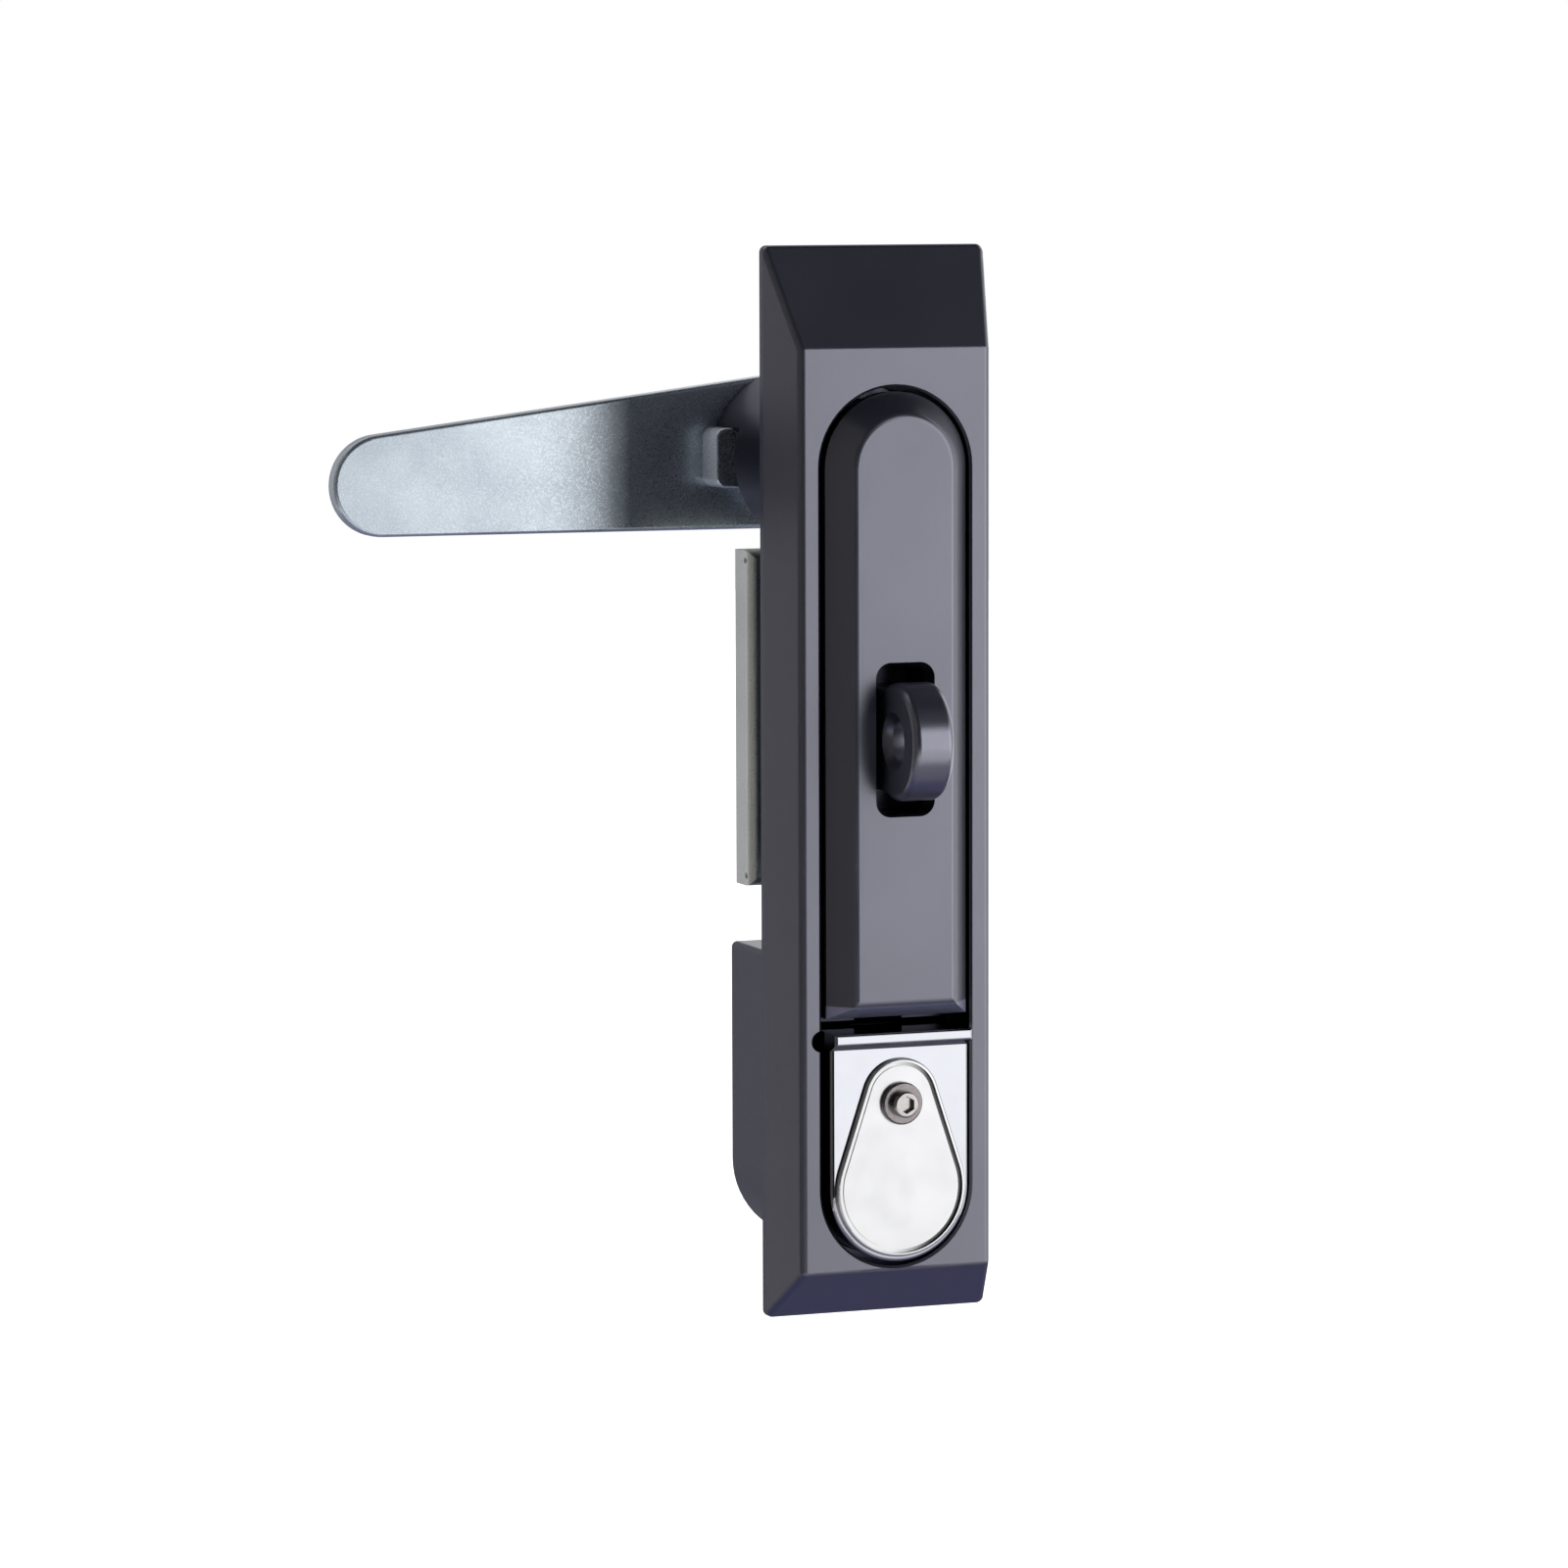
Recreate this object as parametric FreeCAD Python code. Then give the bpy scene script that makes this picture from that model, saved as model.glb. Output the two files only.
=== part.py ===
"""Flush cabinet lock with a pop-up handle, a turning cam behind the door and a padlock eye.

Frame: origin on the spindle axis in the plane of the door's outer face. +X is to the right seen
from the front, +Y goes into the cabinet, +Z is up. Sizes are in millimetres.
"""
import FreeCAD, Part
import math
import os

from FreeCAD import Vector as V

os.makedirs("parts", exist_ok=True)

# Housing: a long cast body with a drafted rim and slanted ends
body_half_width = 16.4
face_half_width = 14.0
body_top = 30.5
body_bottom = -119.0
face_top = 16.4
face_bottom = -112.0
face_depth = 9.5
edge_band = 1.4
edge_round = 1.0
floor_skin = 2.5
cast_wall = 2.0

# Recess for handle and button: a slot with round ends, its top end round the spindle
recess_gap = 0.7
recess_bottom_centre = -100.3
mouth_chamfer = 0.35
thumb_notch_radius = 1.5
thumb_notch_depth = 3.5

# Spindle boss on the back of the housing
boss_wall = 1.2
boss_length = 30.5
boss_notch_lead = 3.4
head_pocket_depth = 8.0
spindle_radius = 8.0
spindle_clearance = 0.06
washer_room_clearance = 0.4
stop_clearance = 0.15

# Lock case on the back of the housing
case_margin = 1.6
case_depth = 25.0
case_top = -69.0
case_wall = 1.6
case_back_wall = 1.8
case_round = 1.2
case_corner = 0.8

# Spindle head that carries the handle
head_clearance = 0.2
head_thickness = 4.4
lug_half_width = 4.0
lug_radius = 2.6
pivot_depth = -8.0
pivot_height = 2.5
pivot_pin_radius = 1.5
pivot_pin_half_length = 9.0
pin_clearance = 0.05

# Handle
handle_half_width = 10.4
handle_bottom = -76.2
handle_back_gap = 0.5
bevel_run = 3.0
plateau_rise = 3.6
plateau_bottom = -74.3
plateau_round = 1.2
handle_front_wall = 2.3
handle_side_wall = 1.9
lug_room = 0.3
handle_rib = 2.4

# Padlock eye and the slot in the handle that it stands in
eye_height = -37.4
eye_radius = 8.15
eye_thickness = 6.0
eye_front = 14.7
eye_hole_radius = 3.0
eye_hole_chamfer = 1.1
eye_round = 1.0
eye_stem_half = 7.0
eye_screw_spread = 4.2
eye_screw_depth = 5.0
eye_slot_half_width = 4.35
eye_slot_half_height = 10.7
eye_slot_round = 2.2
m3_radius = 1.5
m3_head_radius = 2.7
m3_head_height = 1.6
screw_hole_clearance = 0.12
screw_hole_end = 0.5

# Cam, stop washers and their fasteners at the back end of the spindle
square_half = 4.0
square_clearance = 0.03
stop_washer_thickness = 3.0
stop_washer_radius = 9.3
stop_tab_reach = 13.8
stop_tab_half = 4.25
stop_tab_round = 1.5
stop_tab_edge = 0.4
cam_gap = 0.2
cam_thickness = 3.0
cam_hub_radius = 11.15
cam_hub_rise = 0.65
cam_tip_centre = 61.4
cam_tip_radius = 7.2
cam_tip_drop = 3.2
cam_edge_round = 0.6
flat_washer_radius = 6.5
flat_washer_thickness = 1.2
lock_washer_radius = 5.2
lock_washer_thickness = 1.5
lock_washer_gap = 0.9
m6_radius = 3.0
m6_hole_depth = 12.0
m6_head_half = 5.0
m6_head_height = 4.0
ring_groove_place = 12.0
ring_section = 0.9

# Clamp bracket behind the door
bracket_half_width = 15.0
bracket_top = -12.2
bracket_bottom = -59.4
bracket_stand_off = 8.4
bracket_flange = 5.4
bracket_sheet = 1.2
bracket_bend = 1.4
bracket_relief = 0.45
post_radius = 4.0
post_spread = 30.0
m4_radius = 2.0
m4_head_radius = 3.6
m4_head_height = 2.6

# Chrome button
button_clearance = 0.15
button_top = -78.1
button_proud = 1.3
button_plate = 2.5
button_skirt_end = 3.0
button_edge_round = 0.5
button_skirt_wall = 1.6
button_stroke = 1.2
bar_height = 2.4
bar_flat = 1.5
bar_proud = 1.7
bar_round = 0.4
guide_inset = 3.95
guide_height = -86.5
guide_screw_radius = 1.2
guide_head_radius = 2.2
guide_head_height = 1.8
guide_post_radius = 2.4
guide_post_start = 8.0
button_spring_radius = 1.75
button_spring_wire = 0.5
button_spring_turns = 5

# Lock cylinder in the button
cylinder_height = recess_bottom_centre
cylinder_nose_radius = 6.0
cylinder_radius = 7.0
cylinder_rear_room = 8.4
cylinder_sink = 0.4
plug_radius = 4.5
keyway_half_width = 0.75
keyway_half_height = 3.4
keyway_depth = 16.0
ring_nut_margin = 1.2
ring_nut_thickness = 2.0
tail_thickness = 2.0
tail_hub_radius = 4.2
tail_pin_radius = 1.0
tail_pin_reach = 3.0
tail_screw_radius = 1.4
tail_screw_head = 2.7
tail_screw_length = 4.5

# Catch bolt, lifted by the tail pin, and the strike on the handle that it holds
catch_travel = 3.9
bolt_half_width = 3.2
bolt_sheet = 2.0
bolt_nose_thickness = 3.0
bolt_front = -0.3
bolt_nose_top = -78.0
bolt_shelf_drop = 6.0
bolt_gap = 0.2
bolt_slot_clearance = 0.15
bolt_slot_play = 1.05
strike_half_width = 3.0
strike_sheet = 1.8
strike_top = -71.4
strike_bar = 2.4
strike_toe = 2.6
strike_toe_gap = 0.3
strike_base_top = -58.5
strike_screw_height = -63.5
strike_window_room = 0.6

# Dust cover over the key hole
cover_pivot = -88.2
cover_top_centre = -87.5
cover_top_radius = 5.6
cover_bottom_centre = -100.2
cover_bottom_radius = 9.6
cover_gap = 0.05
cover_floor = 0.25
cover_pad = 0.4
cover_rim_height = 0.7
cover_rim_width = 0.5
cover_moat_width = 0.55
cover_rim_round = 0.4
cover_washer_radius = 2.98
cover_washer_thickness = 0.75
cover_head_radius = 1.85
cover_head_height = 1.4
cover_socket_half = 1.1
cover_socket_depth = 0.9
cover_screw_radius = 1.5
cover_boss_radius = 3.0
cover_boss_length = 3.2

# Lift spring round the handle pin
lift_spring_radius = 2.25
lift_spring_wire = 0.7
lift_spring_turns = 3

# Places worked out from the sizes above
face_y = -face_depth
floor_y = -floor_skin
recess_radius = handle_half_width + recess_gap
plateau_half_width = handle_half_width - bevel_run
boss_radius = recess_radius + boss_wall
case_radius = handle_half_width + case_margin
recess_cavity_radius = case_radius - case_wall
case_inner_top = case_top - case_wall
case_inner_back = case_depth - case_back_wall
cylinder_end = case_inner_back - cylinder_rear_room
bore_radius = spindle_radius + spindle_clearance
washer_stack_end = boss_length + cam_gap
washer_stack_start = washer_stack_end - 2 * stop_washer_thickness
boss_notch_start = washer_stack_start - boss_notch_lead
cam_back = washer_stack_end + cam_thickness
head_front = head_pocket_depth - head_thickness
handle_back = floor_y - handle_back_gap
plateau_y = face_y - plateau_rise
button_face = face_y - button_proud
button_half_width = recess_cavity_radius - button_clearance
guide_spread = button_half_width - guide_inset
ring_nut_radius = recess_cavity_radius - ring_nut_margin
eye_y = face_y - eye_front + eye_radius
plug_front = button_face + cylinder_sink
tail_back = cylinder_end + cover_gap + tail_thickness
bolt_plate_front = tail_back + button_stroke + bolt_gap
bolt_plate_back = bolt_plate_front + bolt_sheet
cover_back = button_face - cover_gap
cover_front = cover_back - cover_pad
post_middle = (bracket_top + bracket_bottom) / 2


def block(x0, x1, y0, y1, z0, z1):
    """A box between two corners."""
    return Part.makeBox(x1 - x0, y1 - y0, z1 - z0, V(x0, y0, z0))


def rod_y(radius, y0, y1, x=0.0, z=0.0):
    """A round bar along Y."""
    return Part.makeCylinder(radius, y1 - y0, V(x, y0, z), V(0, 1, 0))


def rod_x(radius, x0, x1, y, z):
    """A round bar along X."""
    return Part.makeCylinder(radius, x1 - x0, V(x0, y, z), V(1, 0, 0))


def ring_y(outer, inner, y0, y1, x=0.0, z=0.0):
    """A flat ring or tube along Y."""
    return rod_y(outer, y0, y1, x, z).cut(rod_y(inner, y0 - 1, y1 + 1, x, z))


def prism_y(wire, y1):
    """A prism from a closed wire that lies in a plane of constant Y, up to y1."""
    y0 = wire.BoundBox.YMin
    return Part.Face(wire).extrude(V(0, y1 - y0, 0))


def slot_wire(half, top, bottom, y):
    """A slot with round ends whose centres are at top and bottom."""
    right = Part.makeLine(V(half, y, top), V(half, y, bottom))
    low = Part.Arc(V(half, y, bottom), V(0, y, bottom - half), V(-half, y, bottom)).toShape()
    left = Part.makeLine(V(-half, y, bottom), V(-half, y, top))
    high = Part.Arc(V(-half, y, top), V(0, y, top + half), V(half, y, top)).toShape()
    return Part.Wire([right, low, left, high])


def arch_wire(half, centre, bottom, y):
    """A round-topped outline with a flat bottom."""
    right = Part.makeLine(V(half, y, centre), V(half, y, bottom))
    low = Part.makeLine(V(half, y, bottom), V(-half, y, bottom))
    left = Part.makeLine(V(-half, y, bottom), V(-half, y, centre))
    high = Part.Arc(V(-half, y, centre), V(0, y, centre + half), V(half, y, centre)).toShape()
    return Part.Wire([right, low, left, high])


def shield_wire(half, top, centre, y):
    """A flat-topped outline with a round bottom."""
    high = Part.makeLine(V(-half, y, top), V(half, y, top))
    right = Part.makeLine(V(half, y, top), V(half, y, centre))
    low = Part.Arc(V(half, y, centre), V(0, y, centre - half), V(-half, y, centre)).toShape()
    left = Part.makeLine(V(-half, y, centre), V(-half, y, top))
    return Part.Wire([high, right, low, left])


def belt_wire(centre_a, radius_a, centre_b, radius_b, y):
    """The outline of a belt round two circles; each centre is (x, z)."""
    dx = centre_b[0] - centre_a[0]
    dz = centre_b[1] - centre_a[1]
    distance = math.hypot(dx, dz)
    heading = math.atan2(dz, dx)
    lean = math.acos((radius_a - radius_b) / distance)

    def at(centre, radius, angle):
        return V(centre[0] + radius * math.cos(angle), y, centre[1] + radius * math.sin(angle))

    a_up = at(centre_a, radius_a, heading + lean)
    a_down = at(centre_a, radius_a, heading - lean)
    b_up = at(centre_b, radius_b, heading + lean)
    b_down = at(centre_b, radius_b, heading - lean)
    a_far = at(centre_a, radius_a, heading + math.pi)
    b_far = at(centre_b, radius_b, heading)
    return Part.Wire([
        Part.Arc(a_up, a_far, a_down).toShape(),
        Part.makeLine(a_down, b_down),
        Part.Arc(b_down, b_far, b_up).toShape(),
        Part.makeLine(b_up, a_up),
    ])


def hexagon_y(half_flats, y0, y1, x=0.0, z=0.0):
    """A hexagonal bar along Y; half_flats is half its size across flats."""
    corner = half_flats / math.cos(math.pi / 6)
    turns = [math.radians(60 * k + 30) for k in range(7)]
    points = [V(x + corner * math.cos(t), y0, z + corner * math.sin(t)) for t in turns]
    return prism_y(Part.makePolygon(points), y1)


def rounded(shape, radius, wanted):
    """Round the edges of a shape that the test picks."""
    return shape.makeFillet(radius, [e for e in shape.Edges if wanted(e.BoundBox)])


def coil(radius, wire, turns, start, end):
    """A spring wound round a line from start to end, with a six-sided wire."""
    axis = end - start
    helix = Part.makeHelix(axis.Length / turns, axis.Length, radius)
    corners = [math.radians(60 * k) for k in range(7)]
    section = Part.makePolygon([
        V(radius + wire / 2 * math.cos(t), 0, wire / 2 * math.sin(t)) for t in corners
    ])
    spring = Part.Wire(helix.Edges).makePipeShell([section], True, True)
    spring.Placement = FreeCAD.Placement(start, FreeCAD.Rotation(V(0, 0, 1), axis))
    return spring


def round_head_screw(radius, tip, seat, head_radius, head_height, x, z):
    """A cross-head screw driven towards -Y, its head behind seat, its tip at tip."""
    shank = rod_y(radius, tip, seat, x, z)
    head = rod_y(head_radius, seat, seat + head_height, x, z)
    head = rounded(head, head_height * 0.55, lambda b: b.YMin > seat + head_height - 0.01)
    arm = head_radius * 0.5
    top = seat + head_height
    deep = head_height * 0.5
    for half_x, half_z in ((arm, arm * 0.3), (arm * 0.3, arm)):
        head = head.cut(block(x - half_x, x + half_x, top - deep, top + 1, z - half_z, z + half_z))
    return shank.fuse(head).removeSplitter()


def rim_body():
    """The outside of the housing: a straight edge band, then drafted sides and slanted ends."""
    def rectangle(half, bottom, top, y):
        corners = [V(-half, y, bottom), V(half, y, bottom), V(half, y, top), V(-half, y, top)]
        return Part.makePolygon(corners + corners[:1])

    w = body_half_width
    band = block(-w, w, -edge_band, 0, body_bottom, body_top)
    base = rectangle(w, body_bottom, body_top, -edge_band)
    face = rectangle(face_half_width, face_bottom, face_top, face_y)
    body = band.fuse(Part.makeLoft([base, face], True, True)).removeSplitter()

    def is_edge(b):
        on_back = b.YMin > -0.01
        on_side_band = b.YLength < 0.01 and b.ZLength > 1 and abs(b.YMin + edge_band) < 0.01
        return not on_back and not on_side_band

    return rounded(body, edge_round, is_edge)


def spindle_boss():
    """The tube behind the housing that the spindle turns in, cut away where the stop tab runs."""
    boss = rod_y(boss_radius, -cast_wall, boss_length)
    edge = stop_tab_half + stop_clearance
    reach = boss_radius + 1
    return boss.cut(block(-reach, edge, boss_notch_start, boss_length + 1, -reach, edge))


def lock_case():
    """The D-shaped case behind the housing that holds the button and its lock."""
    shell = prism_y(shield_wire(case_radius, case_top, recess_bottom_centre, -cast_wall), case_depth)
    shell = rounded(shell, case_corner, lambda b: b.ZMin > case_top - 0.01 and b.XLength < 0.01)
    return rounded(shell, case_round, lambda b: b.YMin > case_depth - 0.01)


def housing():
    """The one cast body: rim, recess, boss, case and clamp posts."""
    body = rim_body().fuse([spindle_boss(), lock_case()])
    for side in (-1, 1):
        z = post_middle + side * post_spread / 2
        body = body.fuse(rod_y(post_radius, -cast_wall, bracket_stand_off, 0, z))

    # recess with a small chamfer at its mouth
    recess = prism_y(slot_wire(recess_radius, 0, recess_bottom_centre, face_y - 1), floor_y)
    mouth = Part.makeLoft([
        slot_wire(recess_radius + mouth_chamfer * 2, 0, recess_bottom_centre, face_y - mouth_chamfer),
        slot_wire(recess_radius, 0, recess_bottom_centre, face_y + mouth_chamfer),
    ], True, True)
    body = body.cut([recess, mouth])
    notch = rod_y(thumb_notch_radius, face_y - 1, face_y + thumb_notch_depth,
                  -recess_radius, button_top - bar_height / 2)
    body = body.cut(notch)

    # spindle: pocket for the head, bore, and room for the washers
    body = body.cut([
        rod_y(recess_radius, floor_y - 1, head_pocket_depth),
        rod_y(bore_radius, floor_y - 1, boss_length + 1),
        rod_y(stop_washer_radius + washer_room_clearance, washer_stack_start - washer_room_clearance,
              boss_length + 1),
    ])

    # case: button well from the front, bolt room above it, and the window for the strike
    well = prism_y(shield_wire(recess_cavity_radius, button_top + strike_window_room,
                               recess_bottom_centre, floor_y - 1), case_inner_back)
    room = block(-recess_cavity_radius, recess_cavity_radius, 0, case_inner_back,
                 button_top, case_inner_top)
    window_half = strike_half_width + strike_window_room
    window_top = strike_top + strike_window_room * 2
    window = block(-window_half, window_half, floor_y - 1, 1, button_top, window_top)
    body = body.cut([well, room, window])

    # posts inside the case that seat the button springs, with holes for the guide screws
    for side in (-1, 1):
        x = side * guide_spread
        post = rod_y(guide_post_radius, guide_post_start, case_inner_back + 0.5, x, guide_height)
        hole = rod_y(guide_screw_radius + screw_hole_clearance, 0, case_depth + 1, x, guide_height)
        body = body.fuse(post).cut(hole)

    # hollow behind the slanted top end
    slope_run = (body_top - face_top) / (face_depth - edge_band)
    inner_front = face_y + cast_wall
    start = boss_radius + cast_wall
    top = body_top - cast_wall
    slope_start = -edge_band + cast_wall
    meets = top - slope_run * (slope_start - inner_front)
    outline = [V(0, 1, start), V(0, 1, top), V(0, slope_start, top), V(0, inner_front, meets),
               V(0, inner_front, start), V(0, 1, start)]
    width = 2 * (face_half_width - cast_wall)
    hollow = Part.Face(Part.makePolygon(outline)).extrude(V(width, 0, 0))
    hollow.translate(V(-width / 2, 0, 0))
    rib = block(-cast_wall / 2, cast_wall / 2, inner_front - 1, 1, start - 1, top + 1)
    body = body.cut(hollow.cut(rib))

    # threaded holes for the clamp screws, and holes for the eye screws with sunk heads
    for side in (-1, 1):
        z = post_middle + side * post_spread / 2
        body = body.cut(rod_y(m4_radius, floor_y + 1, bracket_stand_off + 1, 0, z))
        z = eye_height + side * eye_screw_spread
        body = body.cut([
            rod_y(m3_radius + screw_hole_clearance, floor_y - 1, 1, 0, z),
            rod_y(m3_head_radius + screw_hole_clearance, -m3_head_height, 1, 0, z),
        ])
    return body.removeSplitter()


def spindle_head():
    """Round head in the top of the recess with the lug that carries the handle pin."""
    disc = rod_y(recess_radius - head_clearance, head_front, head_pocket_depth)
    low = pivot_height - lug_radius
    arm = block(-lug_half_width, lug_half_width, pivot_depth, head_front + 1,
                low, pivot_height + lug_radius)
    eye = rod_x(lug_radius, -lug_half_width, lug_half_width, pivot_depth, pivot_height)
    head = disc.fuse([arm, eye])
    reach = lug_half_width + 1
    return head.cut(rod_x(pivot_pin_radius, -reach, reach, pivot_depth, pivot_height)).removeSplitter()


def handle_pin():
    """The pin that the handle swings up on."""
    pin = rod_x(pivot_pin_radius, -pivot_pin_half_length, pivot_pin_half_length,
                pivot_depth, pivot_height)
    return pin.makeChamfer(0.25, pin.Edges[:1] + pin.Edges[2:3])


def handle():
    """The swing-up handle: a bevelled bar with a round top end, hollow behind."""
    skirt = prism_y(arch_wire(handle_half_width, 0, handle_bottom, face_y), handle_back)
    bevel = Part.makeLoft([
        arch_wire(handle_half_width, 0, handle_bottom, face_y),
        arch_wire(plateau_half_width, 0, plateau_bottom, plateau_y),
    ], True, True)
    bar = skirt.fuse(bevel).removeSplitter()
    bar = rounded(bar, plateau_round, lambda b: b.YMax < plateau_y + 0.01)

    # slot for the padlock eye, with rounded corners
    slot = block(-eye_slot_half_width, eye_slot_half_width, plateau_y - 1, 0,
                 eye_height - eye_slot_half_height, eye_height + eye_slot_half_height)
    slot = rounded(slot, eye_slot_round, lambda b: b.XLength < 0.01 and b.ZLength < 0.01)
    bar = bar.cut(slot)

    # room for the lug, open at the back and through the skirt above the pin
    room_y = pivot_depth - lug_radius - lug_room
    lug_x = lug_half_width + lug_room
    room_low = pivot_height - lug_radius - handle_rib * 2
    room_top = pivot_height + lug_radius + lug_room * 4
    bar = bar.cut(block(-lug_x, lug_x, room_y, 0, room_low, room_top))
    bar = bar.cut(block(-lug_x, lug_x, pivot_depth + lug_room, 0, 0, handle_half_width + 1))
    spring_reach = lug_x + (lift_spring_turns + 1.6) * lift_spring_wire
    spring_room = lift_spring_radius + lift_spring_wire / 2 + lug_room / 2
    bar = bar.cut(block(0, spring_reach, pivot_depth - spring_room, 0, room_low,
                        pivot_height + spring_room))

    # two pockets behind, one each side of the slot, and the seat of the strike
    pocket_half = handle_half_width - handle_side_wall - lug_room * 2
    pocket_y = plateau_y + handle_front_wall
    slot_top = eye_height + eye_slot_half_height
    slot_bottom = eye_height - eye_slot_half_height
    for top, bottom in ((room_low - handle_rib, slot_top + handle_rib),
                        (slot_bottom - handle_rib, strike_base_top + handle_rib)):
        bar = bar.cut(block(-pocket_half, pocket_half, pocket_y, 0, bottom, top))
    seat = strike_half_width + pin_clearance
    bar = bar.cut(block(-seat, seat, handle_back - strike_sheet, 0,
                        handle_bottom - 1, strike_base_top + pin_clearance))
    bar = bar.cut(rod_y(m3_radius, plateau_y + handle_front_wall, 0, 0, strike_screw_height))

    # blind holes for the pin
    reach = pivot_pin_half_length + pin_clearance
    bar = bar.cut(rod_x(pivot_pin_radius + pin_clearance, -reach, reach, pivot_depth, pivot_height))
    return bar.removeSplitter()


def lift_spring():
    """The coil round the pin that makes the handle pop up."""
    start = lug_half_width + lug_room + lift_spring_wire / 2
    length = lift_spring_turns * (lift_spring_wire + 0.12)
    return coil(lift_spring_radius, lift_spring_wire, lift_spring_turns,
                V(start, pivot_depth, pivot_height), V(start + length, pivot_depth, pivot_height))


def handle_strike():
    """The steel hook on the back of the handle that the catch bolt holds."""
    w = strike_half_width
    base_front = handle_back - strike_sheet
    bolt_back = bolt_front + bolt_nose_thickness
    toe_front = bolt_back + strike_toe_gap
    toe_back = toe_front + bolt_nose_thickness
    bar_bottom = strike_top - strike_bar
    base = block(-w, w, base_front, handle_back, bar_bottom, strike_base_top)
    stem = block(-w, w, base_front, toe_back, bar_bottom, strike_top)
    toe = block(-w, w, toe_front, toe_back, bar_bottom - strike_toe, bar_bottom + 0.5)
    hook = base.fuse([stem, toe]).removeSplitter()
    hook = rounded(hook, 0.8, lambda b: b.XLength > 2 * w - 0.1 and b.YMin > toe_back - 0.01)
    return hook.cut(rod_y(m3_radius + screw_hole_clearance, base_front - 1, handle_back + 1,
                          0, strike_screw_height))


def strike_screw():
    """Flat-headed screw of the strike; its head stays below the back of the handle."""
    head_seat = handle_back
    shank = rod_y(m3_radius, plateau_y + handle_front_wall + 0.5, head_seat, 0, strike_screw_height)
    head = rod_y(m3_head_radius - 0.5, head_seat, head_seat + handle_back_gap * 0.7,
                 0, strike_screw_height)
    return shank.fuse(head).removeSplitter()


def padlock_eye():
    """The cast lug with a cross hole that a padlock goes through."""
    half = eye_thickness / 2
    disc = rod_x(eye_radius, -half, half, eye_y, eye_height)
    disc = rounded(disc, eye_round, lambda b: b.XLength < 0.01)
    stem = block(-half, half, eye_y, floor_y, eye_height - eye_stem_half, eye_height + eye_stem_half)
    lug = disc.fuse(stem)
    lug = lug.cut(rod_x(eye_hole_radius, -half - 1, half + 1, eye_y, eye_height))
    for side in (-1, 1):
        cone = Part.makeCone(eye_hole_radius + eye_hole_chamfer, eye_hole_radius, eye_hole_chamfer,
                             V(side * half, eye_y, eye_height), V(-side, 0, 0))
        lug = lug.cut(cone)
    for side in (-1, 1):
        z = eye_height + side * eye_screw_spread
        lug = lug.cut(rod_y(m3_radius, floor_y - eye_screw_depth - screw_hole_end, floor_y + 1, 0, z))
    return lug.removeSplitter()


def eye_screws():
    """Two screws that hold the padlock eye from behind."""
    return Part.makeCompound([
        round_head_screw(m3_radius, floor_y - eye_screw_depth, -m3_head_height, m3_head_radius,
                         m3_head_height, 0, eye_height + side * eye_screw_spread)
        for side in (-1, 1)
    ])


def spindle_shaft():
    """The part of the spindle that turns in the boss, with a square end for the cam."""
    start = head_pocket_depth + square_clearance * 2
    shoulder = washer_stack_start
    shaft = rod_y(spindle_radius, start, shoulder)
    end = cam_back - square_clearance * 3
    square = block(-square_half, square_half, shoulder - 1, end, -square_half, square_half)
    corner_cut = rod_y(square_half * 1.32, shoulder - 1, end)
    shaft = shaft.fuse(square.common(corner_cut))
    groove = ring_y(spindle_radius + 1, spindle_radius - 2 * ring_section,
                    ring_groove_place - ring_section * 1.1, ring_groove_place + ring_section * 1.1)
    shaft = shaft.cut([groove, rod_y(m6_radius, end - m6_hole_depth, end + 1)])
    return shaft.removeSplitter()


def spindle_o_ring():
    """Rubber ring that seals the spindle."""
    return Part.makeTorus(spindle_radius - ring_section, ring_section,
                          V(0, ring_groove_place, 0), V(0, 1, 0))


def square_hole(y0, y1):
    """The cutter for a hole that fits the square of the spindle."""
    half = square_half + square_clearance
    return block(-half, half, y0, y1, -half, half)


def stop_washers():
    """Two stacked washers whose tab runs in the notch of the boss and stops the turn."""
    washers = []
    for k in range(2):
        y0 = washer_stack_start + k * stop_washer_thickness
        y1 = y0 + stop_washer_thickness
        tab = block(-stop_tab_reach, 0, y0, y1, -stop_tab_half, stop_tab_half)
        tab = rounded(tab, stop_tab_round, lambda b: b.YLength > 1 and b.XMax < -5)
        tab_end = stop_tab_round - stop_tab_reach + 0.01
        tab = rounded(tab, stop_tab_edge, lambda b: b.YLength < 0.01 and b.XMax < tab_end)
        washer = rod_y(stop_washer_radius, y0, y1).fuse(tab)
        washers.append(washer.cut(square_hole(y0 - 1, y1 + 1)).removeSplitter())
    return Part.makeCompound(washers)


def cam():
    """The flat locking arm; its lower edge is straight and its upper edge tapers to the tip."""
    outline = belt_wire((0, cam_hub_rise), cam_hub_radius, (-cam_tip_centre, -cam_tip_drop), cam_tip_radius,
                        washer_stack_end)
    arm = prism_y(outline, cam_back)
    arm = rounded(arm, cam_edge_round, lambda b: b.YLength < 0.01)
    return arm.cut(square_hole(washer_stack_end - 1, cam_back + 1))


def cam_flat_washer():
    """Plain washer under the cam screw."""
    return ring_y(flat_washer_radius, m6_radius + screw_hole_clearance,
                  cam_back, cam_back + flat_washer_thickness)


def cam_lock_washer():
    """Split spring washer under the head of the cam screw."""
    y0 = cam_back + flat_washer_thickness
    ring = ring_y(lock_washer_radius, m6_radius + screw_hole_clearance,
                  y0, y0 + lock_washer_thickness)
    split = block(0, lock_washer_radius + 1, y0 - 1, y0 + lock_washer_thickness + 1,
                  -lock_washer_gap / 2, lock_washer_gap / 2)
    split.rotate(V(0, 0, 0), V(0, 1, 0), 25)
    return ring.cut(split)


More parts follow.
